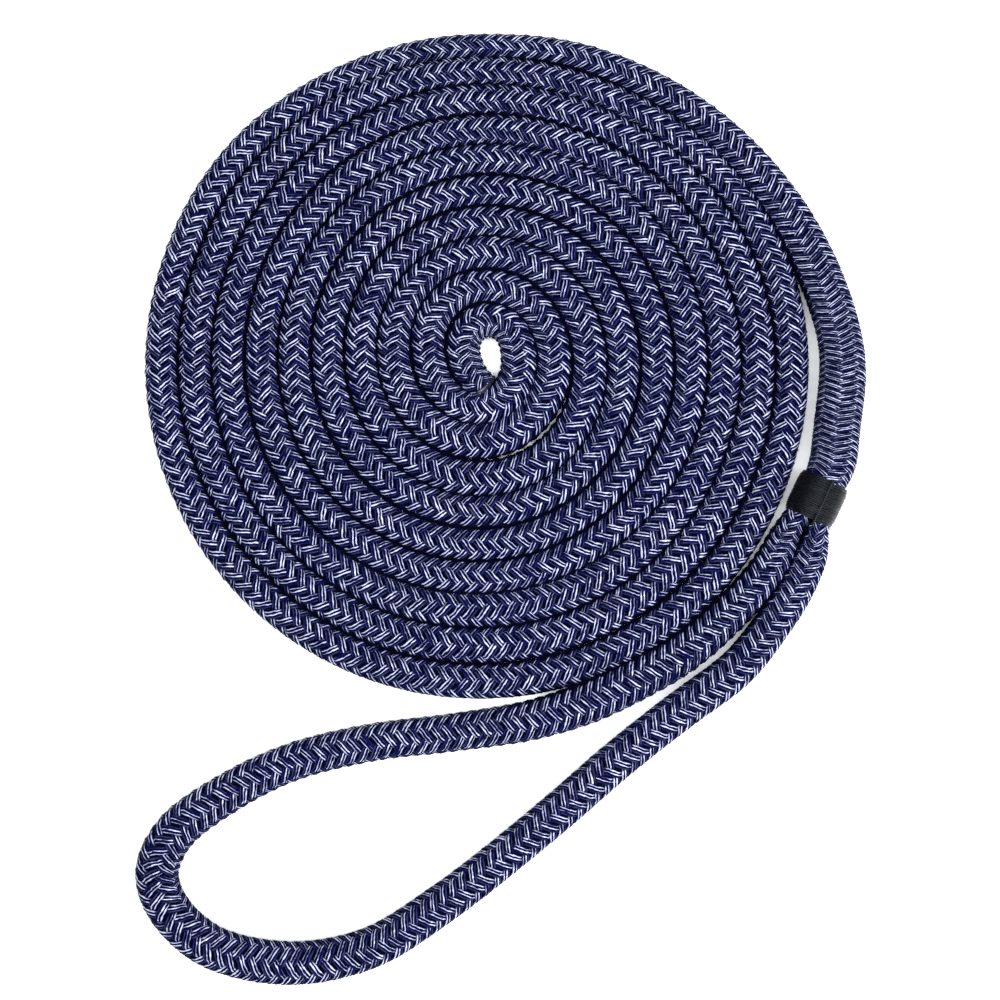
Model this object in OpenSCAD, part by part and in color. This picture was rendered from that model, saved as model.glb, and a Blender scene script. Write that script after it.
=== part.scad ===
// Coiled dock line: a double-braid rope laid down as a flat spiral coil, with a spliced eye at its outer end.
// Z = 0 is the surface that the line lies on. The origin is under the middle of the spiral, where the inner
// end starts. Seen from above, the line winds outward clockwise, and angles here are clockwise from +Y.

/* [Line] */
// Diameter of the plain line, in mm
rope_d = 13; // [10.8:0.1:15.6]
// Thickness of the braided cover, in mm
cover_wall = 2.2; // [1.6:0.1:2.6]
// Clearance between the cover, the core and the buried tail, in mm
inside_gap = 0.2; // [0.1:0.05:0.4]

/* [Coil] */
// Diameter of the coil round its last turn, in mm. The route of the free stretch spreads with it
coil_d = 267; // [240:1:330]
// Least clearance between the coil and the stretch that lies beside it, in mm
side_gap = 1; // [0.5:0.1:2]

/* [Sealed end] */
// Diameter of the melted cap on the inner end, in mm
seal_d = 11.6; // [8:0.1:12]
// Length of the melted cap, in mm
seal_l = 3; // [2:0.5:5]

/* [Splice] */
// Diameter of the spliced stretch above the throat, in mm
splice_d = 19.5; // [16:0.5:22]
// Diameter of the buried tail at the throat, in mm
tail_d = 8.6; // [5:0.1:9]
// Thickness of the core's wall round the buried tail, in mm
core_wall = 2.3; // [1.5:0.1:2.6]
// How far the whipping pulls the spliced stretch in, on the radius, in mm
nip = 0.6; // [0.2:0.1:1]

/* [Whipping] */
// Length of the whipping along the line, in mm
whipping_l = 18; // [14:1:24]
// Diameter of the whipping twine, in mm
twine_d = 1; // [0.8:0.1:1.4]

/* [Eye] */
// Thickness of the eye's legs, in mm
eye_d = 16.4; // [13:0.2:17]

/* [Hidden] */
$fn = 64;

SIDES = 12;             // sides of a swept tube
DRAWN_FOR = 267;        // the coil diameter that the points below were chosen for
spread = coil_d / DRAWN_FOR;

// The coil's outline steps inward once, at +Y, where the line leaves it. Behind that step, on the -X side, it
// is a circle round LAST_CENTRE. Ahead of it, it is a smaller one round FIRST_CENTRE.
LAST_CENTRE = [-4.5, -1.5];
FIRST_CENTRE = [-2.5, -8];
FIRST_R = 126;
LAP = 20;               // how far the smaller part runs back into the other

// The spliced stretch from where it leaves the coil: x, y, and how far it has swelled from rope_d to splice_d.
SPLICE = [
    [0, 124.5, 0], [8, 124.5, 0], [29, 122, 0], [53, 114, 0.07], [77, 101, 0.17], [99, 83, 0.28],
    [117, 61, 0.4], [131, 35, 0.57], [139, 8, 0.85], [140, -8, 1], [138, -26, 1]
];
TAIL_TIP = 5;           // the point of SPLICE where the buried tail ends
TAIL_TIP_SHARE = 0.3;   // the tail's diameter there, as a share of tail_d

// The middle of the whipping, and the way the line runs through it.
THROAT = [129.5, -56.5];
THROAT_TURN = 205;
LEAD = 6;               // straight stretch on each side of the whipping

// The eye, from the leg away from the coil round to the leg beside it: x, y, and its thickness over eye_d.
EYE = [
    [129, -77, 0.8], [123, -92, 0.9], [111, -109, 0.96], [98, -124, 1], [74, -142, 1], [50, -161, 1],
    [27, -181, 1], [4, -200, 1], [-21, -219, 1.02], [-49, -236, 1.05], [-81, -242, 1.1], [-113, -235, 1.1],
    [-130, -219, 1.1], [-134, -205, 1.1], [-127, -190, 1.08], [-109, -176, 1.03], [-81, -162, 0.97],
    [-49, -154, 0.96], [-17, -150, 0.97], [15, -145, 1], [39, -138, 1], [60, -128, 1], [77, -118, 1],
    [93, -104, 1], [105, -91, 0.95], [112, -81, 0.9], [116, -73, 0.8]
];

rope_r = rope_d / 2;
splice_r = splice_d / 2;
nipped_r = splice_r - nip;                      // the spliced stretch under the whipping
whip_bore_r = nipped_r + inside_gap;
whip_r = whip_bore_r + twine_d;                 // the whipping's outside, and its axis's height
leg_r = (nipped_r - inside_gap) / 2;            // each leg of the eye where both enter the whipping
leg_offset = leg_r + inside_gap / 2;

throat_along = [sin(THROAT_TURN), cos(THROAT_TURN), 0];
throat_side = [-throat_along.y, throat_along.x, 0];
throat = [THROAT.x * spread, THROAT.y * spread, whip_r];

// Where the line's inner end is, and the way the line leaves it.
SEAL_TURN = 217.5;
seal_reach = rope_d;
SEAL_GAP = 0.3;

// ---- Routes, as points with a radius each ----

function placed(p, r) = [p.x * spread, p.y * spread, r];
function swelled(k) = rope_r + (splice_r - rope_r) * k;

splice_path = concat(
    [for (p = SPLICE) placed(p, swelled(p.z))],
    [for (back = [whipping_l / 2 + LEAD, whipping_l / 2, 0]) throat - back * throat_along]
);
splice_radii = concat([for (p = SPLICE) swelled(p.z)], [splice_r, nipped_r, nipped_r]);

function leg_start(side) =
    [for (ahead = [0, whipping_l / 2 + 2]) throat + ahead * throat_along + side * leg_offset * throat_side];
function backwards(list) = [for (i = [len(list) - 1 : -1 : 0]) list[i]];

eye_path = concat(leg_start(1), [for (p = EYE) placed(p, eye_d / 2 * p.z)], backwards(leg_start(-1)));
eye_radii = concat([leg_r, leg_r], [for (p = EYE) eye_d / 2 * p.z], [leg_r, leg_r]);

// ---- The coil's outline ----

function beside(path, radii) = [
    for (i = [0 : len(path) - 1])
        norm([path[i].x, path[i].y] - spread * FIRST_CENTRE) - radii[i] - side_gap
];
// The smaller part's radius: its own, or less where the free stretch would lie too close beside it.
first_r = min(concat([FIRST_R * spread], beside(splice_path, splice_radii), beside(eye_path, eye_radii)));

// ---- Swept tubes ----

function unit(v) = v / norm(v);
function heading(path, i) = unit(path[min(i + 1, len(path) - 1)] - path[max(i - 1, 0)]);
function ring(centre, along, r) = let (side = unit(cross(along, [0, 0, 1])), up = cross(side, along)) [
    for (s = [0 : SIDES - 1]) centre + r * (cos(360 * s / SIDES) * side + sin(360 * s / SIDES) * up)
];
function rings(path, radii, first) = [
    for (i = [first : 1 : len(path) - 1]) each ring(path[i], heading(path, i), radii[i])
];
function wall(start, rows, inward) = [
    for (i = [0 : 1 : rows - 2], s = [0 : SIDES - 1])
        let (a = start + i * SIDES + s, b = start + i * SIDES + (s + 1) % SIDES)
            each inward ? [[a, b + SIDES, b], [a, a + SIDES, b + SIDES]]
                        : [[a, b, b + SIDES], [a, b + SIDES, a + SIDES]]
];
function disc(start, forward) = [[for (s = [0 : SIDES - 1]) start + (forward ? s : SIDES - 1 - s)]];
function annulus(outer, inner, forward) = [
    for (s = [0 : SIDES - 1]) let (t = (s + 1) % SIDES)
        forward ? [outer + s, outer + t, inner + t, inner + s] : [outer + t, outer + s, inner + s, inner + t]
];

// A tube along path. Its cavity runs from the point numbered first_bore to the far end, and there is none
// where first_bore is past the last point.
module swept(path, radii, bores = [], first_bore = 1000) {
    rows = len(path);
    hollow = first_bore < rows;
    cavity = rows * SIDES;
    points = concat(rings(path, radii, 0), hollow ? rings(path, bores, first_bore) : []);
    polyhedron(points, concat(
        wall(0, rows, false),
        hollow ? wall(cavity, rows - first_bore, true) : [],
        hollow && first_bore == 0 ? annulus(0, cavity, false) : disc(0, false),
        hollow && first_bore > 0 ? disc(cavity, true) : [],
        hollow ? annulus(cavity - SIDES, len(points) - SIDES, true) : disc(cavity - SIDES, true)
    ), convexity = 6);
}

function less(radii, wall) = [for (r = radii) r - wall];

// ---- Sub-parts ----

module seal_place() {
    rotate([0, 0, -SEAL_TURN]) translate([0, seal_reach, rope_r]) rotate([0, -90, 0]) children();
}

module rounded_disc(centre, r) {
    translate([centre.x * spread, centre.y * spread, 0]) rotate_extrude() {
        square([r - rope_r, rope_d]);
        translate([r - rope_r, rope_r]) intersection() {
            circle(r = rope_r);
            translate([0, -rope_r]) square([rope_r, rope_d]);
        }
    }
}

// All the turns of the plain line, as the solid that they fill.
module coiled_turns() {
    slot = [rope_d * 2, seal_d + 2 * SEAL_GAP, seal_l + SEAL_GAP];
    color([0.15, 0.16, 0.33]) difference() {
        union() {
            intersection() {
                rounded_disc(LAST_CENTRE, coil_d / 2);
                translate([-coil_d, -coil_d, 0]) cube([coil_d, 2 * coil_d, rope_d]);
            }
            intersection() {
                rounded_disc(FIRST_CENTRE, first_r);
                translate([-LAP, -coil_d, 0]) cube([coil_d, 2 * coil_d, rope_d]);
            }
        }
        seal_place() translate([-slot.x / 2, -slot.y / 2, 0]) cube(slot);
    }
}

// The melted cap, a shallow dome.
module sealed_end() {
    color([0.05, 0.05, 0.1]) seal_place() intersection() {
        cylinder(d = seal_d, h = seal_l);
        translate([0, 0, seal_l - seal_d]) sphere(r = seal_d);
    }
}

module splice_cover() {
    color([0.15, 0.16, 0.33]) swept(splice_path, splice_radii, less(splice_radii, cover_wall), 0);
}

splice_core_radii = less(splice_radii, cover_wall + inside_gap);

module splice_core() {
    color([0.75, 0.75, 0.78])
        swept(splice_path, splice_core_radii, [for (i = [0 : len(splice_path) - 1]) tail_r(i) + inside_gap], TAIL_TIP);
}

// The buried tail tapers from the throat to its tip.
last_splice = len(splice_path) - 1;
function tail_r(i) = let (share = max(0, (i - TAIL_TIP) / (last_splice - TAIL_TIP)))
    min(tail_d / 2 * (TAIL_TIP_SHARE + (1 - TAIL_TIP_SHARE) * share), splice_core_radii[i] - core_wall);

module buried_tail() {
    places = [for (i = [TAIL_TIP : last_splice]) i];
    path = [for (i = places) i == TAIL_TIP
        ? splice_path[i] + inside_gap * heading(splice_path, i) : splice_path[i]];
    color([0.15, 0.16, 0.33]) swept(path, [for (i = places) tail_r(i)]);
}

module eye_cover() {
    color([0.15, 0.16, 0.33]) swept(eye_path, eye_radii, less(eye_radii, cover_wall), 0);
}

module eye_core() {
    color([0.75, 0.75, 0.78]) swept(eye_path, less(eye_radii, cover_wall + inside_gap));
}

module throat_place() {
    translate(throat) rotate([90, 0, -THROAT_TURN]) children();
}

// Turns of twine, drawn as rings that bed into each other.
module throat_whipping() {
    turns = floor(whipping_l / twine_d);
    pitch = (whipping_l - twine_d) / (turns - 1);
    color([0.04, 0.04, 0.05]) throat_place() rotate_extrude() {
        translate([whip_bore_r, -whipping_l / 2 + twine_d / 2]) square([twine_d / 2, whipping_l - twine_d]);
        for (i = [0 : turns - 1])
            translate([whip_bore_r + twine_d / 2, -whipping_l / 2 + twine_d / 2 + i * pitch]) circle(d = twine_d, $fn = 24);
    }
}

// The finishing pass: along the top of the whipping, and down past both its edges.
module whipping_stitch() {
    clear = inside_gap / 2;
    run = whipping_l + twine_d + 2 * clear;
    top = whip_r + twine_d / 2 + clear;
    foot = splice_r + inside_gap + twine_d / 2;
    color([0.04, 0.04, 0.05]) throat_place() for (end = [-1, 1]) {
        translate([0, top, 0]) rotate([0, end < 0 ? 180 : 0, 0]) cylinder(d = twine_d, h = run / 2);
        translate([0, top, end * run / 2]) sphere(d = twine_d);
        translate([0, foot, end * run / 2]) rotate([-90, 0, 0]) cylinder(d = twine_d, h = top - foot);
    }
}

coiled_turns();
sealed_end();
splice_cover();
splice_core();
buried_tail();
eye_cover();
eye_core();
throat_whipping();
whipping_stitch();
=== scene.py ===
import math
import bpy
import numpy as np
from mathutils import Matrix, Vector


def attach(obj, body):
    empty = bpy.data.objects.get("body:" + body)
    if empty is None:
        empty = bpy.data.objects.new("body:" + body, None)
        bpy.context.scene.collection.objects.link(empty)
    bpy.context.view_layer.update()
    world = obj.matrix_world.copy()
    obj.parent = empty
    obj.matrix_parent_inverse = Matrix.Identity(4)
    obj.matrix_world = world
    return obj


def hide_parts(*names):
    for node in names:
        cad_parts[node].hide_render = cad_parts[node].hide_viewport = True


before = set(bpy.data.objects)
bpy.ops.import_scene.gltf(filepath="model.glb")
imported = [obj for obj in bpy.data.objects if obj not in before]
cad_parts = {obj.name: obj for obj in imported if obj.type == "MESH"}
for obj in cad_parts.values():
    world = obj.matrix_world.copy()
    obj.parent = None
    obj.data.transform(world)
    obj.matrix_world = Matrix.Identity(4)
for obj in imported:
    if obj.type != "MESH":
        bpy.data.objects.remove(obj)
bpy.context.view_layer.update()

# A coiled dock line. Routes and sections are in millimetres here, and the meshes are made in metres.
MM = 0.001
TAU = 2 * math.pi
scene = bpy.context.scene
scene.view_settings.view_transform = "Standard"
scene.view_settings.look = "None"

# ---- Camera: straight down, +Y up the picture, 400 mm across at the height of the line's middle ----

VIEW_MIDDLE = (3.2, -56.8)
VIEW_WIDTH = 400.0
LINE_HEIGHT = 8.0
CAMERA_HEIGHT = 1250.0

camera_data = bpy.data.cameras.new("camera")
camera_data.sensor_width = 36.0
camera_data.lens = 36.0 * (CAMERA_HEIGHT - LINE_HEIGHT) / VIEW_WIDTH
camera_data.clip_end = 20.0
camera_data.dof.use_dof = False
camera = bpy.data.objects.new("camera", camera_data)
camera.location = (VIEW_MIDDLE[0] * MM, VIEW_MIDDLE[1] * MM, CAMERA_HEIGHT * MM)
scene.collection.objects.link(camera)
scene.camera = camera

# ---- The route: from the inner end out through the coil, the splice and the eye, back into the throat ----

ROPE_R = 6.5
PERIMETER = 2 * ROPE_R ** 2      # a section's half-width squared plus half-height squared
PLAIN_LAY = 42.8                 # length of one turn of a strand round the plain line

# The coil's first turns: turns from +Y clockwise, and distance from the pole.
INNER = [
    (0.533, 12.7), (0.57, 11.8), (0.61, 11.0), (0.65, 10.7), (0.69, 10.6), (0.725, 11.0), (0.76, 11.7),
    (0.83, 13.3), (0.91, 15.5), (0.99, 15.9), (1.08, 14.2), (1.16, 12.0), (1.24, 10.9), (1.32, 12.0),
    (1.39, 13.9), (1.46, 17.3), (1.53, 20.4),
    (1.60, 22.9), (1.68, 24.0), (1.75, 25.1), (1.83, 28.0), (1.92, 29.8), (2.0, 28.9), (2.08, 27.1),
    (2.17, 25.1), (2.25, 24.9), (2.33, 26.0), (2.39, 27.7), (2.45, 30.4), (2.52, 33.6), (2.6, 35.8),
]
INNER_HALF = [
    (0.533, 6.4), (0.57, 6.7), (0.62, 6.9), (0.70, 7.2), (0.76, 7.4), (1.05, 7.4), (1.2, 7.8), (1.34, 7.9),
    (1.42, 8.3), (1.47, 8.2), (1.6, 7.0), (1.8, 6.8),
]
# Where the last turn closes in on the one before it, and where the free stretch carries on from it.
OUTER = [(9.917, 126.6), (9.958, 125.6), (10.0, 124.6), (10.08, 125.6), (10.15, 128.5), (10.25, 134)]
# Where the turns lie nearer in or further out than the spiral, and by how much.
SHIFTS = [(7.07, -1.0), (8.07, -1.3), (9.07, -3.2), (8.42, 1.2), (8.53, 0.6), (9.41, 2.5), (9.52, 1.5)]
SHIFT_SPAN = 0.09
ROWS_PER_TURN = 30               # how closely the coil's route is sampled
COIL_END = 10.0                  # turns, where the free stretch begins


def spiral(t):
    w = TAU * t
    return (
        1.47 + 13.06 * t + (1.57 - 0.38 * t) * np.cos(w) + (0.09 * t - 3.65) * np.sin(w)
        + (2.31 - 0.31 * t) * np.cos(2 * w) + (0.26 * t - 1.23) * np.sin(2 * w)
        + sum(much * np.exp(-(((t - at) / SHIFT_SPAN) ** 2)) for at, much in SHIFTS)
    )


SPIRAL_T = np.arange(2.68, 9.86, 1 / ROWS_PER_TURN)
COIL_T = np.concatenate([[t for t, _ in INNER], SPIRAL_T, [t for t, _ in OUTER]])
COIL_R = np.concatenate([[r for _, r in INNER], spiral(SPIRAL_T), [r for _, r in OUTER]])

TOUCH = 0.5                # how far the turns press into each other
LAST_TOUCH = 0.3           # and how far the last turn does
PACKED_HALF = (5.2, 7.4)   # the least and the most that half the line's width is in the coil
LAST_HALF = (6.3, 7.1)     # and in its last turn
LEAVING_HALF = 5.3         # half its width where it leaves the coil
LEAST_HIGH = 4.6           # the least that half its height is


def coil_r(t):
    return np.interp(t, COIL_T, COIL_R)


def coil_half(t):
    """Half the line's width in the coil: half the way to the turn beside it, within what the line can do."""
    inner = np.interp(t, [x for x, _ in INNER_HALF], [x for _, x in INNER_HALF])
    to_outer, to_inner = coil_r(t + 1) - coil_r(t), coil_r(t) - coil_r(t - 1)
    packed = np.clip(np.maximum(to_outer, to_inner) / 2, *PACKED_HALF) + TOUCH
    last = np.clip(to_inner / 2, *LAST_HALF) + LAST_TOUCH
    packed = packed + (last - packed) * np.clip((t - 9.08) / 0.12, 0, 1) * np.clip((9.95 - t) / 0.12, 0, 1)
    packed = packed + (LEAVING_HALF - packed) * np.clip((t - 9.88) / 0.08, 0, 1)
    return inner + (packed - inner) * np.clip((t - 1.55) / 0.2, 0, 1)


def half_height(half_width):
    return np.sqrt(np.maximum(PERIMETER - half_width ** 2, LEAST_HIGH ** 2))


# The free stretch after the coil: x, y, half-width, half-height, lay.
FREE = [
    (29, 122, 5.7, 7.3, 42), (53, 114, 6.4, 6.9, 42), (77, 101, 6.9, 7.0, 41),
    (98.6, 82.7, 7.8, 7.5, 38), (116.5, 60.7, 8.5, 7.9, 35), (130.3, 34.8, 9.2, 8.5, 28),
    (139, 8, 9.3, 9.3, 23), (140, -8, 9.75, 9.75, 22), (138, -26, 9.75, 9.75, 22),
]
THROAT = np.array([129.5, -56.5])
THROAT_TURN = math.radians(205)
THROAT_HEIGHT = 10.35
ALONG = np.array([math.sin(THROAT_TURN), math.cos(THROAT_TURN)])
ASIDE = np.array([-ALONG[1], ALONG[0]])      # towards the eye's leg that is away from the coil
# Through the whipping: ahead of its middle, aside of its axis, half-width, half-height, lay.
INTO_THROAT = [
    (-15, 0, 9.75, 9.75, 22), (-9, 0, 9.1, 8.9, 24), (-4, 0.6, 8.3, 7.6, 28), (0, 2.4, 6.4, 7.0, 30),
    (5, 5.3, 4.0, 6.6, 30), (10, 5.4, 4.7, 7.9, 30),
]
OUT_OF_THROAT = [(10, -4.5, 5.4, 8.4, 30), (5, -3.8, 5.3, 8.0, 30), (1, -4.2, 4.6, 7.4, 30)]
# The eye: x, y, thickness over EYE_D, lay.
EYE_D = 16.4
EYE_LEAST_HIGH = 0.9       # the least height over EYE_D
EYE_SETTLED = 0.96         # its height over its width, pressed flat a little by its own weight
EYE = [
    (128.3, -77, 0.84, 32), (121.8, -92, 0.93, 34), (110.5, -109, 0.97, 36), (98, -124, 1, 37),
    (74, -142, 1, 38),
    (50, -161, 1, 38), (27, -181, 1, 38), (4, -200, 1, 38), (-21, -219, 1.02, 38), (-49, -236, 1.05, 38),
    (-81, -242, 1.1, 38), (-113, -235, 1.1, 38), (-130, -219, 1.1, 38), (-134, -205, 1.1, 38),
    (-127, -190, 1.08, 38), (-109, -176, 1.03, 38), (-81, -162, 0.97, 38), (-49, -154, 0.96, 38),
    (-17, -150, 0.97, 38), (15, -145, 1.02, 38), (39, -137.4, 1.08, 38), (59.8, -127.4, 1.08, 38),
    (76.8, -117.6, 1.04, 38), (93, -104, 1, 37), (105.3, -91, 0.97, 36), (112.6, -81, 0.93, 34),
    (116.4, -73, 0.84, 32),
]


def through_throat(rows):
    for ahead, aside, half, high, lay in rows:
        x, y = THROAT + ahead * ALONG + aside * ASIDE
        yield (x, y, THROAT_HEIGHT, half, high, lay)


def route_points():
    """Rows of x, y, z, half-width, half-height and lay."""
    first = INNER[0][0]
    count = int((COIL_END - first) * ROWS_PER_TURN)
    t = np.linspace(first, COIL_END, count + 1)
    half = coil_half(t)
    high = half_height(half - TOUCH)
    lay = np.interp(t, [0.5, 1.6, 3.5], [33, 36, PLAIN_LAY])
    r = coil_r(t)
    rows = list(zip(r * np.sin(TAU * t), r * np.cos(TAU * t), high, half, high, lay))
    rows += [(x, y, high, half, high, lay) for x, y, half, high, lay in FREE]
    rows += through_throat(INTO_THROAT)
    for x, y, thick, lay in EYE:
        high = EYE_D / 2 * max(thick, EYE_LEAST_HIGH) * EYE_SETTLED
        rows.append((x, y, high, EYE_D / 2 * thick, high, lay))
    rows += through_throat(OUT_OF_THROAT)
    return np.array(rows)


def catmull_rom(rows, step):
    """A smooth curve through the rows, sampled about every step millimetres."""
    out = []
    padded = np.vstack([2 * rows[0] - rows[1], rows, 2 * rows[-1] - rows[-2]])
    for i in range(len(rows) - 1):
        p0, p1, p2, p3 = padded[i:i + 4]
        k = [0.0]
        for a, b in ((p0, p1), (p1, p2), (p2, p3)):
            k.append(k[-1] + max(np.linalg.norm((b - a)[:2]), 1e-6) ** 0.5)
        n = max(1, int(round(np.linalg.norm((p2 - p1)[:2]) / step)))
        t = (k[1] + (k[2] - k[1]) * np.arange(n) / n)[:, None]
        a1 = (k[1] - t) / (k[1] - k[0]) * p0 + (t - k[0]) / (k[1] - k[0]) * p1
        a2 = (k[2] - t) / (k[2] - k[1]) * p1 + (t - k[1]) / (k[2] - k[1]) * p2
        a3 = (k[3] - t) / (k[3] - k[2]) * p2 + (t - k[2]) / (k[3] - k[2]) * p3
        b1 = (k[2] - t) / (k[2] - k[0]) * a1 + (t - k[0]) / (k[2] - k[0]) * a2
        b2 = (k[3] - t) / (k[3] - k[1]) * a2 + (t - k[1]) / (k[3] - k[1]) * a3
        out.append((k[2] - t) / (k[2] - k[1]) * b1 + (t - k[1]) / (k[2] - k[1]) * b2)
    out.append(rows[-1][None])
    return np.vstack(out)


def smoothed(values, width):
    """values averaged along the curve, its ends kept by reflection."""
    n = 3 * width
    w = np.exp(-0.5 * (np.arange(-n, n + 1) / width) ** 2)
    w /= w.sum()
    head, tail = 2 * values[0] - values[n:0:-1], 2 * values[-1] - values[-2:-n - 2:-1]
    padded = np.vstack([head, values, tail])
    return np.stack([np.convolve(c, w, "valid") for c in padded.T], axis=1)


STEP = 0.5
fine = smoothed(catmull_rom(route_points(), STEP), 5)
gaps = np.linalg.norm(np.diff(fine[:, :3], axis=0), axis=1)
S = np.concatenate([[0], np.cumsum(gaps)])      # distance along the line
LENGTH = S[-1]
# How far a strand has gone round the line, in radians.
PHASE = np.concatenate([[0], np.cumsum(gaps * TAU / ((fine[1:, 5] + fine[:-1, 5]) / 2))])

tangent = np.gradient(fine[:, :3], S, axis=0)
tangent /= np.linalg.norm(tangent, axis=1)[:, None]
sideways = np.cross(tangent, [0, 0, 1.0])
sideways /= np.linalg.norm(sideways, axis=1)[:, None]
upward = np.cross(sideways, tangent)


def at(s, values):
    return np.stack([np.interp(s, S, c) for c in values.T], axis=1)


def on_section(s, angle, offset):
    """Points at distance s along the line, angle round its section and offset out from its surface."""
    row = at(s, fine)
    side, up = at(s, sideways), at(s, upward)
    out_side = ((row[:, 3] + offset) * np.cos(angle))[:, None] * side
    out_up = ((row[:, 4] + offset) * np.sin(angle))[:, None] * up
    return row[:, :3] + out_side + out_up


# ---- Meshes from rows of rings ----


def ring_mesh(name, rings, material, uv_rows=1, weave=None, shade_depth=None):
    """A closed tube through rings, an array of rows x points x 3 in millimetres, with its ends filled."""
    rows, across, _ = rings.shape
    points = np.vstack([rings.reshape(-1, 3), rings[0].mean(0)[None], rings[-1].mean(0)[None]]) * MM
    i, j = np.meshgrid(np.arange(rows - 1), np.arange(across), indexing="ij")
    k = (j + 1) % across
    corners = [(i + 1) * across + j, (i + 1) * across + k, i * across + k, i * across + j]
    quads = np.stack(corners, axis=-1).reshape(-1, 4)
    ends = np.arange(across)
    following = (ends + 1) % across
    first = np.stack([np.full(across, rows * across), ends, following], axis=1)
    base = (rows - 1) * across
    last = np.stack([np.full(across, rows * across + 1), base + following, base + ends], axis=1)
    loops = np.concatenate([quads.ravel(), first.ravel(), last.ravel()])
    sizes = np.concatenate([np.full(len(quads), 4), np.full(2 * across, 3)])
    mesh = bpy.data.meshes.new(name)
    mesh.vertices.add(len(points))
    mesh.vertices.foreach_set("co", points.ravel().astype(np.float32))
    mesh.loops.add(len(loops))
    mesh.loops.foreach_set("vertex_index", loops.astype(np.int32))
    mesh.polygons.add(len(sizes))
    mesh.polygons.foreach_set("loop_start", (np.cumsum(sizes) - sizes).astype(np.int32))
    mesh.polygons.foreach_set("loop_total", sizes.astype(np.int32))
    mesh.polygons.foreach_set("use_smooth", np.ones(len(sizes), bool))
    mesh.update(calc_edges=True)

    # The bake's map: the tube unrolled and folded into uv_rows strips.
    per = math.ceil((rows - 1) / uv_rows)
    strip, column = i.ravel() // per, i.ravel() % per
    jj = j.ravel()
    fold = np.empty((len(quads), 4, 2))
    for corner, (di, dj) in enumerate(((1, 0), (1, 1), (0, 1), (0, 0))):
        fold[:, corner, 0] = 0.005 + 0.95 * (column + di) / per
        fold[:, corner, 1] = (strip + 0.06 + 0.88 * (jj + dj) / across) / uv_rows
    caps = np.tile([[0.98, 0.01], [0.99, 0.01], [0.99, 0.02]], (2 * across, 1))
    bake = mesh.uv_layers.new(name="OFBake")
    bake.data.foreach_set("uv", np.vstack([fold.reshape(-1, 2), caps]).ravel().astype(np.float32))
    if weave is not None:
        # Distance along the strand in millimetres, and the yarn's number and place across it.
        values = weave.reshape(-1, 2)
        values = np.vstack([values, values[:1], values[-1:]])
        per_loop = values[loops]
        # The faces that close the tube run on past its last point, not back across the whole strand.
        closing = np.arange(4 * len(quads)).reshape(-1, 4)[jj == across - 1][:, 1:3].ravel()
        per_loop[closing, 1] += np.ptp(values[:across, 1]) + 0.2
        layer = mesh.uv_layers.new(name="weave")
        layer.data.foreach_set("uv", per_loop.ravel().astype(np.float32))
    # The cover's painted shade, as an attribute for its material.
    if shade_depth is not None:
        values = np.concatenate([shade_depth.ravel(), [0, 0]])
        mesh.attributes.new("shade_depth", "FLOAT", "POINT").data.foreach_set("value", values.astype(np.float32))
    mesh.uv_layers["OFBake"].active_render = True
    piece = bpy.data.objects.new(name, mesh)
    scene.collection.objects.link(piece)
    mesh.materials.append(material)
    return piece


# ---- Materials ----

YARN_NUMBERS = 8.0       # each strand's yarns are numbered from the next multiple of this


class Nodes:
    """A short way to write a material's nodes."""

    def __init__(self, name):
        self.material = bpy.data.materials.new(name)
        self.material.use_nodes = True
        self.tree = self.material.node_tree
        self.shader = self.tree.nodes["Principled BSDF"]

    def add(self, kind, inputs=None, **settings):
        node = self.tree.nodes.new("ShaderNode" + kind)
        for key, value in settings.items():
            setattr(node, key, value)
        for key, value in (inputs or {}).items():
            self.put(node.inputs[key], value)
        return node

    def put(self, socket, value):
        if isinstance(value, bpy.types.NodeSocket):
            self.tree.links.new(value, socket)
        else:
            socket.default_value = value

    def math(self, operation, *values):
        node = self.add("Math", operation=operation)
        for socket, value in zip(node.inputs, values):
            self.put(socket, value)
        return node.outputs[0]

    def mix(self, share, a, b, blend="MIX"):
        node = self.add("Mix", data_type="RGBA", blend_type=blend)
        for key, value in (("Factor_Float", share), ("A_Color", a), ("B_Color", b)):
            self.put(next(s for s in node.inputs if s.identifier == key), value)
        return next(s for s in node.outputs if s.identifier == "Result_Color")

    def noise(self, vector, scale, detail=2.0):
        return self.add("TexNoise", {"Vector": vector, "Scale": scale, "Detail": detail}).outputs["Fac"]

    def ramp(self, value, low, high):
        node = self.add("MapRange", {"Value": value, "From Min": low, "From Max": high})
        return node.outputs["Result"]

    def bump(self, height, strength, distance):
        node = self.add("Bump", {"Height": height, "Strength": strength, "Distance": distance})
        self.put(self.shader.inputs["Normal"], node.outputs["Normal"])


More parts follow.
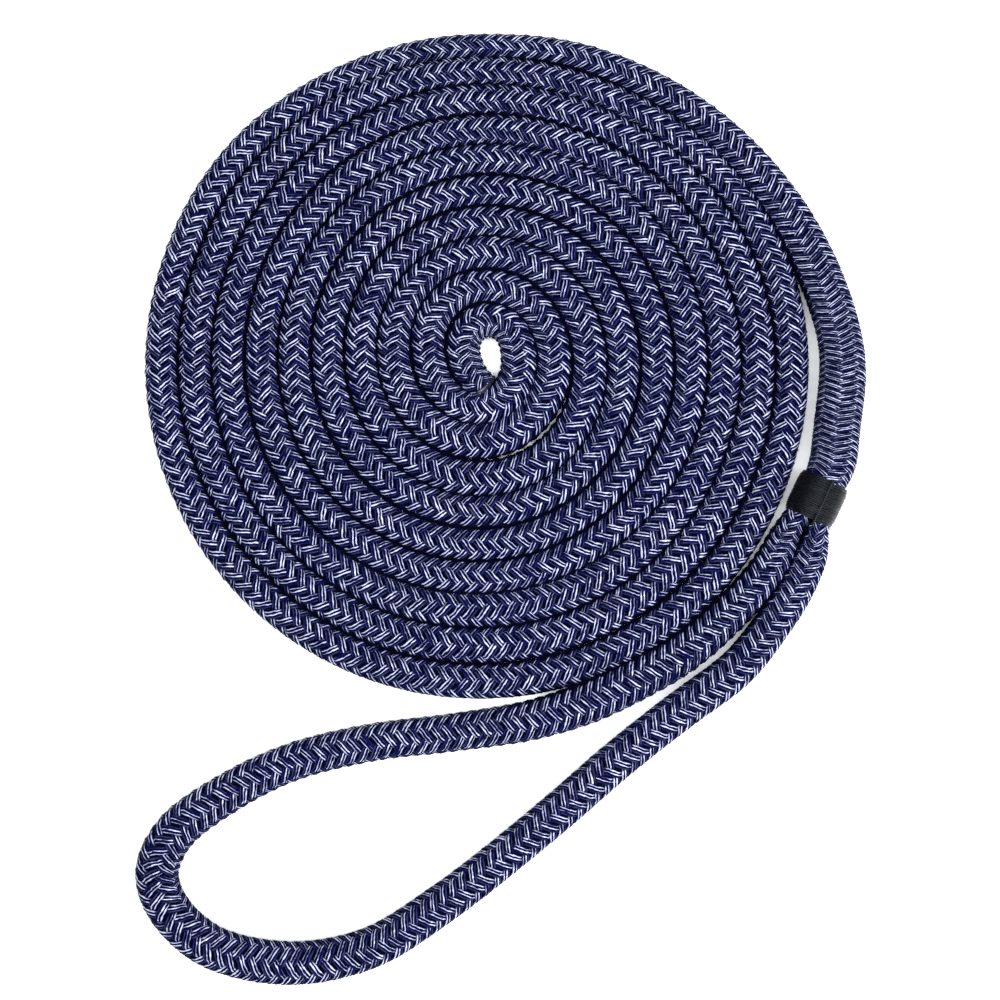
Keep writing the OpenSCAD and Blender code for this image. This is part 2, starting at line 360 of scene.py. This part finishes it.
def cover_material():
    """Navy nylon: filaments along each yarn, painted shade down between yarns, a painted highlight and a
    real gloss along their crests.
    """
    n = Nodes("navy_cover")
    uv = n.add("UVMap", uv_map="weave").outputs["UV"]
    split = n.add("SeparateXYZ", {"Vector": uv})
    along, yarn = split.outputs["X"], split.outputs["Y"]
    shade_depth = n.add("Attribute", attribute_name="shade_depth").outputs["Fac"]
    where = n.add("TexCoord").outputs["Object"]
    number = n.math("FLOOR", yarn)
    per_yarn = n.add("TexWhiteNoise", {"W": number}, noise_dimensions="1D").outputs["Value"]
    twisted = n.math("MULTIPLY_ADD", along, 0.55, n.math("MULTIPLY", yarn, 9.0))
    lengthways = n.math("MULTIPLY", along, 0.22)
    filament_at = n.add("CombineXYZ", {"X": lengthways, "Y": twisted, "Z": number}).outputs[0]
    filament = n.noise(filament_at, 1.6, 3.0)
    patch = n.noise(where, 38.0, 3.0)

    def along_yarn(run, step):
        """A place for a noise that runs along each yarn, different on every one."""
        parts = {"X": n.math("MULTIPLY", along, run), "Y": n.math("MULTIPLY", number, step)}
        return n.add("CombineXYZ", parts).outputs[0]

    # A crest is 1 along a yarn's middle, wanders and comes and goes, and hardly shows on the third yarn: it
    # is a painted highlight in the colour, and a glossier coat.
    wander = n.math("MULTIPLY_ADD", n.noise(along_yarn(0.45, 7.7), 1.0, 1.0), 1.3, -1.65)
    place = n.math("ABSOLUTE", n.math("MULTIPLY_ADD", n.math("FRACT", yarn), 2.0, wander))
    gleam = n.noise(along_yarn(0.16, 3.7), 1.0, 3.0)
    crest = n.ramp(n.math("MULTIPLY_ADD", gleam, -1.5, n.math("ADD", place, 0.75)), 0.36, 0.04)
    in_strand = n.math("MODULO", yarn, YARN_NUMBERS)
    leading = n.math("MULTIPLY_ADD", n.ramp(in_strand, 2.04, 1.96), 0.94, 0.06)
    high = n.ramp(shade_depth, 0.46, 0.2)
    shine = n.math("MULTIPLY", n.math("MULTIPLY", crest, leading), high)

    shade = n.mix(n.ramp(patch, 0.3, 0.7), (0.0005, 0.0011, 0.021, 1), (0.001, 0.0018, 0.034, 1))
    shade = n.mix(n.math("MULTIPLY", per_yarn, 0.35), shade, (0.001, 0.0012, 0.012, 1))
    shade = n.mix(n.ramp(filament, 0.45, 0.8), shade, (0.003, 0.0045, 0.052, 1))
    # Painted shade down in the valleys between yarns.
    shade = n.mix(n.math("MULTIPLY", n.ramp(place, 0.6, 1.0), 0.7), shade, (0.0005, 0.0006, 0.006, 1))
    # Painted highlight: the pale crest lines in the base colour.
    shade = n.mix(shine, shade, (0.42, 0.45, 0.62, 1))
    # Painted shade: near black where the strand dives under, in creases against the next turn and on the
    # line's sides.
    shade = n.mix(n.ramp(shade_depth, 0.22, 0.75), shade, (0.0005, 0.0005, 0.004, 1))
    n.put(n.shader.inputs["Base Color"], shade)
    rough = n.math("MULTIPLY_ADD", filament, 0.1, n.math("MULTIPLY_ADD", shine, -0.70, 0.88))
    n.put(n.shader.inputs["Roughness"], rough)
    n.put(n.shader.inputs["Coat Weight"], shine)
    n.shader.inputs["Coat Roughness"].default_value = 0.22
    n.shader.inputs["Specular IOR Level"].default_value = 0.06
    n.shader.inputs["Specular Tint"].default_value = (0.4, 0.5, 1.0, 1)
    n.shader.inputs["Sheen Weight"].default_value = 0.01
    n.shader.inputs["Sheen Roughness"].default_value = 0.4
    n.shader.inputs["Sheen Tint"].default_value = (0.4, 0.5, 1.0, 1)
    n.bump(filament, 0.35, 0.00012)
    return n.material


def core_material():
    """The core's own braid, dark, as little of it shows between the cover's strands."""
    n = Nodes("core_braid")
    uv = n.add("UVMap", uv_map="OFBake").outputs["UV"]
    pattern = n.noise(uv, 220.0, 2.0)
    n.put(n.shader.inputs["Base Color"], n.mix(pattern, (0.008, 0.009, 0.04, 1), (0.02, 0.024, 0.09, 1)))
    n.shader.inputs["Roughness"].default_value = 0.6
    n.bump(pattern, 0.4, 0.0002)
    return n.material


def twine_material():
    """Black waxed twine, its own twist showing as fine slanted lines."""
    n = Nodes("black_twine")
    uv = n.add("UVMap", uv_map="weave").outputs["UV"]
    split = n.add("SeparateXYZ", {"Vector": uv})
    slant = n.math("MULTIPLY_ADD", split.outputs["Y"], 3.0, n.math("MULTIPLY", split.outputs["X"], 1.3))
    ridge = n.math("ABSOLUTE", n.math("SINE", n.math("MULTIPLY", slant, math.pi)))
    where = n.add("TexCoord").outputs["Object"]
    worn = n.noise(where, 900.0, 3.0)
    base = n.mix(n.ramp(worn, 0.4, 0.7), (0.0008, 0.001, 0.0016, 1), (0.006, 0.0065, 0.009, 1))
    n.put(n.shader.inputs["Base Color"], base)
    n.put(n.shader.inputs["Roughness"], n.math("MULTIPLY_ADD", worn, 0.2, 0.2))
    n.shader.inputs["Specular IOR Level"].default_value = 0.22
    n.shader.inputs["Specular Tint"].default_value = (0.8, 0.9, 1.0, 1)
    n.bump(ridge, 0.5, 0.00012)
    return n.material


def melt_material():
    """Nylon melted with a hot knife: dark, glassy and lumpy."""
    n = Nodes("melted_end")
    where = n.add("TexCoord").outputs["Object"]
    lumps = n.noise(where, 420.0, 4.0)
    shade = n.mix(n.ramp(lumps, 0.35, 0.7), (0.003, 0.003, 0.006, 1), (0.02, 0.02, 0.05, 1))
    n.put(n.shader.inputs["Base Color"], shade)
    n.put(n.shader.inputs["Roughness"], n.math("MULTIPLY_ADD", lumps, 0.35, 0.12))
    n.bump(lumps, 0.7, 0.0004)
    return n.material


COVER, CORE, TWINE, MELT = cover_material(), core_material(), twine_material(), melt_material()

# ---- The cover: eight strands each way, every one over two and under two ----

WAY = 8                       # strands each way round
YARNS = 3                     # yarns side by side in a strand
STATIONS = 9                  # rings of a strand for each time it goes over and under
LOBE = np.array([0.0, 0.14, 0.5, 0.86])
TOP = np.concatenate([(LOBE + y) for y in range(YARNS)] + [[YARNS]]) / YARNS      # 0 to 1 across the strand
LOBE_RISE = 0.42              # how far a yarn stands out between its neighbours
CROWN = 0.5                   # how far a strand's middle stands out above its sides
UNDER = 1.3                   # how far in a strand goes where it passes under
THICK = 0.95                  # a strand's thickness at its sides
WIDTH = 1.0                   # a strand's width over the room that it has
STEEPER = 0.42                # how much more it turns where it is on top
SUDDEN = 1.9                  # how suddenly it goes from over to under
SQUARE = 3.2                  # how square a yarn's top is
BELLY = 0.16                  # how far it stands out halfway along where it is on top
UNDERCUT = 0.06               # how far its sides slope in below, in radians
UNEVEN = 0.06                 # how far it wanders, in radians to the side and in millimetres up
WAVER_RUNS = (37, 13.7, 5.3)  # how long the wander's three waves are, in millimetres to a radian
DEEP = 1.6                    # the depth that counts as 1 in the material
COVER_STRIPS = 36             # strips of the bake's map for a strand
LOOK_STEP = 2.0               # how often along the line a neighbour is looked for
SAME_STRETCH = 28             # nearer than this along the line is no neighbour
NEAR_GAP = 2.2                # the gap from which a neighbour begins to count
NEAR_SPAN = 1.6               # and how much nearer it counts in full
NEAR_SMOOTH = 9               # looks averaged along the line
SIDE_FROM = 0.78              # the cosine from which the cover counts as the line's side
SIDE_SHADE = 0.15             # how much painted shade its sides get everywhere
CREASE_SHADE = 0.65           # and how much more painted shade against a neighbour
rng = np.random.default_rng(7)


def waver(s, size, phases):
    """A slow wander along the line."""
    long, middling, short = (np.sin(s / run + phase) for run, phase in zip(WAVER_RUNS, phases))
    return size * (long + 0.7 * middling + 0.5 * short) / (1 + 0.7 + 0.5)


def neighbours():
    """For each side of the line, at steps along it: 1 where another stretch of it lies against that side."""
    where = np.arange(0, LENGTH, LOOK_STEP)
    row, side = at(where, fine), at(where, sideways)
    apart = np.abs(where[:, None] - where[None, :]) > SAME_STRETCH
    shares = []
    for way in (1, -1):
        edge = row[:, :2] + way * row[:, 3:4] * side[:, :2]
        gap = np.hypot(edge[:, :1] - row[None, :, 0], edge[:, 1:] - row[None, :, 1]) - row[None, :, 3]
        nearest = np.where(apart, gap, np.inf).min(axis=1)
        share = np.clip((NEAR_GAP - nearest) / NEAR_SPAN, 0, 1)
        shares.append(np.convolve(share, np.full(NEAR_SMOOTH, 1 / NEAR_SMOOTH), "same"))
    return where, shares


NEAR_AT, NEAR = neighbours()


def painted_side_and_crease_shade(s, angle):
    """Painted shade: how much darker the cover is painted between two stretches that touch, and a little on
    its sides elsewhere.
    """
    side = np.cos(angle)
    right, left = (np.interp(s, NEAR_AT, share)[:, None] for share in NEAR)
    share = np.clip((np.abs(side) - SIDE_FROM) / (1 - SIDE_FROM), 0, 1)
    shade = SIDE_SHADE + CREASE_SHADE * np.where(side > 0, right, left)
    return shade * share ** 2 * (3 - 2 * share)


def roll(s):
    """How far the line has turned about its own axis, in radians."""
    return 0.35 * np.sin(s / 610) + 0.2 * np.sin(s / 233 + 1.0) + 0.4


def strand(name, direction, number):
    """One strand of the cover, direction 1 or -1 round the line."""
    turns = PHASE[-1] / TAU
    rows = int(turns * 4 * STATIONS)
    phase = np.linspace(0, PHASE[-1], rows + 1)
    s = np.interp(phase, PHASE, S)
    phases = rng.uniform(0, TAU, 3)
    middle = direction * phase + number * TAU / WAY + roll(s) + waver(s, UNEVEN, phases)
    room = TAU / WAY
    across = (TOP - 0.5) * WIDTH * room
    angle = middle[:, None] + across[None, :]
    # The other way's strands are numbered along this one, and whole numbers are their middles.
    crossed = (angle - roll(s)[:, None] + direction * phase[:, None]) / room
    own = number + (0 if direction > 0 else 2)
    turning = TAU * (crossed + own - 0.5) / 4
    wave = np.cos(turning)
    angle = angle + STEEPER / 4 * np.sin(turning)
    over = 0.5 + 0.5 * np.tanh(SUDDEN * wave) / math.tanh(SUDDEN)
    lobes = 1 - np.abs(2 * ((TOP * YARNS) % 1) - 1) ** SQUARE
    crown = 1 - (2 * TOP - 1) ** 2
    bulge = BELLY * np.maximum(wave, 0) - BELLY
    height = (
        -UNDER * (1 - over) - LOBE_RISE * (1 - lobes)[None, :] - CROWN * (1 - crown)[None, :] + bulge
        + waver(s, UNEVEN, phases[::-1])[:, None]
    )
    top = height.shape[1]
    low = np.stack([height[:, -1] - THICK, height[:, 0] - THICK], axis=1)
    angles = np.concatenate([angle, angle[:, -1:] - UNDERCUT, angle[:, :1] + UNDERCUT], axis=1)
    heights = np.concatenate([height, low], axis=1)
    n = angles.shape[1]
    points = on_section(np.repeat(s, n), angles.ravel(), heights.ravel()).reshape(-1, n, 3)
    line = np.linalg.norm(np.diff(points[:, top // 2], axis=0), axis=1)
    run = np.concatenate([[0], np.cumsum(line)])
    weave = np.empty(points.shape[:2] + (2,))
    weave[..., 0] = run[:, None]
    in_strand = np.concatenate([TOP * YARNS * 0.999, [YARNS + 0.3, YARNS + 0.6]])
    weave[..., 1] = in_strand[None, :] + YARN_NUMBERS * (number + (WAY if direction < 0 else 0))
    # Painted shade: how deep each point lies below the strand's top, more in creases against a neighbour and
    # on the line's sides.
    shade_depth = np.concatenate([-height - 0.35 * CROWN, np.full_like(low, 2)], axis=1) / DEEP
    shade_depth = np.clip(np.maximum(shade_depth, 0) + painted_side_and_crease_shade(s, angles), 0, 1)
    return ring_mesh(name, points, COVER, COVER_STRIPS, weave, shade_depth)


cover = [strand(f"cover_right_{k}", 1, k) for k in range(WAY)]
cover += [strand(f"cover_left_{k}", -1, k) for k in range(WAY)]

# ---- The core inside it ----

CORE_IN = 2.15          # from the line's surface to the core's
CORE_SIDES = 20
CORE_STEP = 2.5
CORE_RIPPLE = 0.12      # how far its own strands stand out


def line_core():
    """The core as one tube with eight ridges that wind round it."""
    s = np.arange(1.0, LENGTH - 1.0, CORE_STEP)
    angle = np.linspace(0, TAU, CORE_SIDES, endpoint=False)
    phase = np.interp(s, S, PHASE)
    ripple = CORE_RIPPLE * np.cos(8 * angle[None, :] + 3 * phase[:, None])
    points = on_section(np.repeat(s, CORE_SIDES), np.tile(angle, len(s)), (ripple - CORE_IN).ravel())
    return ring_mesh("line_core", points.reshape(len(s), CORE_SIDES, 3), CORE, 24)


core = line_core()

# ---- The whipping and its stitch ----

WHIPPING_L = 18.0
TWINE_R = 0.42
WHIP_TURNS = 21
WHIP_R = 9.35
GROOVE_AT = math.radians(76)      # the stitch's groove, as an angle from ASIDE up
GROOVE = 1.6                      # how deep it is, and half as deep opposite, underneath
GROOVE_SPAN = 0.32                # how wide it is, in radians
TUCK = 1.4                        # how far in the twine's ends go
axis_out = np.array([ASIDE[0], ASIDE[1], 0.0])
axis_on = np.array([ALONG[0], ALONG[1], 0.0])
axis_up = np.array([0.0, 0.0, 1.0])
throat = np.array([THROAT[0], THROAT[1], THROAT_HEIGHT])


def whip_radius(angle):
    """The radius under the twine."""
    away = (angle - GROOVE_AT + math.pi) % TAU - math.pi
    under = (angle + GROOVE_AT + math.pi) % TAU - math.pi
    above_groove, under_groove = (np.exp(-(a / GROOVE_SPAN) ** 2) for a in (away, under))
    return WHIP_R - GROOVE * above_groove - 0.5 * GROOVE * under_groove


def round_throat(ahead, angle, out):
    """Points ahead of the whipping's middle, at an angle from ASIDE up and out from its axis."""
    beside, above = out * np.cos(angle), out * np.sin(angle)
    return throat + ahead[:, None] * axis_on + beside[:, None] * axis_out + above[:, None] * axis_up


def swept(name, line, radius, material, sides=10, uv_rows=8):
    """A round twine along line, rows of points in millimetres."""
    on = np.gradient(line, axis=0)
    on /= np.linalg.norm(on, axis=1)[:, None]
    side = np.cross(on, [0.3, 0.2, 1.0])
    side /= np.linalg.norm(side, axis=1)[:, None]
    up = np.cross(side, on)
    a = np.linspace(0, TAU, sides, endpoint=False)
    r = np.broadcast_to(np.asarray(radius, float), len(line))[:, None, None]
    out = np.cos(a)[None, :, None] * side[:, None] + np.sin(a)[None, :, None] * up[:, None]
    rings = line[:, None] + r * out
    run = np.concatenate([[0], np.cumsum(np.linalg.norm(np.diff(line, axis=0), axis=1))])
    weave = np.empty(rings.shape[:2] + (2,))
    weave[..., 0] = run[:, None]
    weave[..., 1] = np.arange(sides) / sides
    return ring_mesh(name, rings, material, uv_rows, weave)


def whipping():
    """The twine's turns round the throat, as one helix."""
    steps = 72
    turn = np.linspace(0, WHIP_TURNS, WHIP_TURNS * steps + 1)
    angle = TAU * turn + 0.5
    uneven = 0.07 * np.sin(5.1 * turn) + 0.05 * np.sin(17 * angle / TAU)
    ahead = (turn / WHIP_TURNS - 0.5) * (WHIPPING_L - 2 * TWINE_R) + uneven
    bulge = 0.35 - 0.9 * np.abs(2 * turn / WHIP_TURNS - 1) ** 5
    tucked = TUCK * np.clip(1 - np.minimum(turn, WHIP_TURNS - turn) / 0.25, 0, 1) ** 2
    radius = whip_radius(angle) + TWINE_R + bulge - tucked + 0.05 * np.sin(3.3 * turn + 1)
    line = round_throat(ahead, angle, radius)
    line[:, 2] = np.maximum(line[:, 2], TWINE_R)
    return swept("throat_whipping_turns", line, TWINE_R * 1.03, TWINE, 10, 24)


def stitch():
    """Down through the line above the whipping, along the groove and down again between the eye's legs."""
    half = WHIPPING_L / 2
    profile = [
        (-half - 1.6, -3.0), (-half - 1.3, -0.6), (-half - 0.6, 0.7), (-half + 1, 1.1), (-4, 1.25), (0, 1.3),
        (4, 1.25), (half - 1, 1.1), (half + 0.6, 0.7), (half + 1.3, -0.8), (half + 1.6, -3.0),
    ]
    rows = catmull_rom(np.array([(a, r, 0, 0, 0, 0) for a, r in profile], float), 0.4)
    ahead, out = rows[:, 0], rows[:, 1] + whip_radius(GROOVE_AT)
    line = round_throat(ahead, GROOVE_AT, out)
    return swept("whipping_stitch_pass", line, TWINE_R * 0.8, TWINE, 8, 2)


whip, pass_ = whipping(), stitch()

# ---- The melted cap on the inner end ----


CAP_AT = 0.4          # distance along the line
CAP_SIDES = 32
# The cap's rings: back into the line from CAP_AT, and size over the line's own section.
CAP_RINGS = [(-1.2, 0.15), (-1.15, 0.4), (-1.0, 0.66), (-0.7, 0.85), (-0.25, 0.94), (0.3, 0.95), (1.2, 0.88)]


def melted_end():
    angle = np.linspace(0, TAU, CAP_SIDES, endpoint=False)
    lump = 1 + 0.05 * np.sin(3 * angle + 1) + 0.04 * np.sin(7 * angle)
    row, side, up, on = (at(np.array([CAP_AT]), v)[0] for v in (fine, sideways, upward, tangent))
    rings = []
    for back, share in CAP_RINGS:
        r_side, r_up = row[3] * share * lump, row[4] * share * lump
        centre = row[:3] + back * on
        ring = centre + (r_side * np.cos(angle))[:, None] * side + (r_up * np.sin(angle))[:, None] * up
        ring[:, 2] = np.maximum(ring[:, 2], 0.05)
        rings.append(ring + (0.18 * np.sin(5 * angle + 4 * share))[:, None] * on)
    return ring_mesh("melted_end_cap", np.array(rings), MELT, 1)


cap = melted_end()

# ---- What rides on what ----

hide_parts("coiled_turns", "splice_core", "buried_tail", "eye_core")
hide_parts("splice_cover", "eye_cover")
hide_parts("throat_whipping")
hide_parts("whipping_stitch")
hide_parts("sealed_end")
for piece in cover + [core, whip, pass_, cap]:
    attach(piece, "root")

# ---- Floor and light ----


def floor():
    mesh = bpy.data.meshes.new("floor")
    mesh.from_pydata([(-3, -3, 0), (3, -3, 0), (3, 3, 0), (-3, 3, 0)], [], [(0, 1, 2, 3)])
    plane = bpy.data.objects.new("floor", mesh)
    plane.location = (0, 0, -0.0002)
    n = Nodes("floor_white")
    n.shader.inputs["Base Color"].default_value = (0.96, 0.96, 0.96, 1)
    n.shader.inputs["Roughness"].default_value = 0.9
    n.shader.inputs["Specular IOR Level"].default_value = 0.0
    mesh.materials.append(n.material)
    scene.collection.objects.link(plane)


def area_light(name, place, size, power, colour=(1, 1, 1)):
    data = bpy.data.lights.new(name, "AREA")
    data.shape = "RECTANGLE"
    data.size, data.size_y = size
    data.energy = power
    data.color = colour
    lamp = bpy.data.objects.new(name, data)
    lamp.location = place
    lamp.rotation_euler = (Vector((0, -0.05, 0)) - Vector(place)).to_track_quat("-Z", "Y").to_euler()
    scene.collection.objects.link(lamp)


floor()
world = bpy.data.worlds.new("studio")
world.use_nodes = True
world.node_tree.nodes["Background"].inputs["Color"].default_value = (1, 1, 1, 1)
world.node_tree.nodes["Background"].inputs["Strength"].default_value = 0.15
scene.world = world
area_light("overhead", (0.1, -0.05, 2.0), (0.5, 3.4), 105, (0.95, 0.97, 1.0))
area_light("side", (1.3, -1.0, 1.0), (0.6, 0.6), 30)
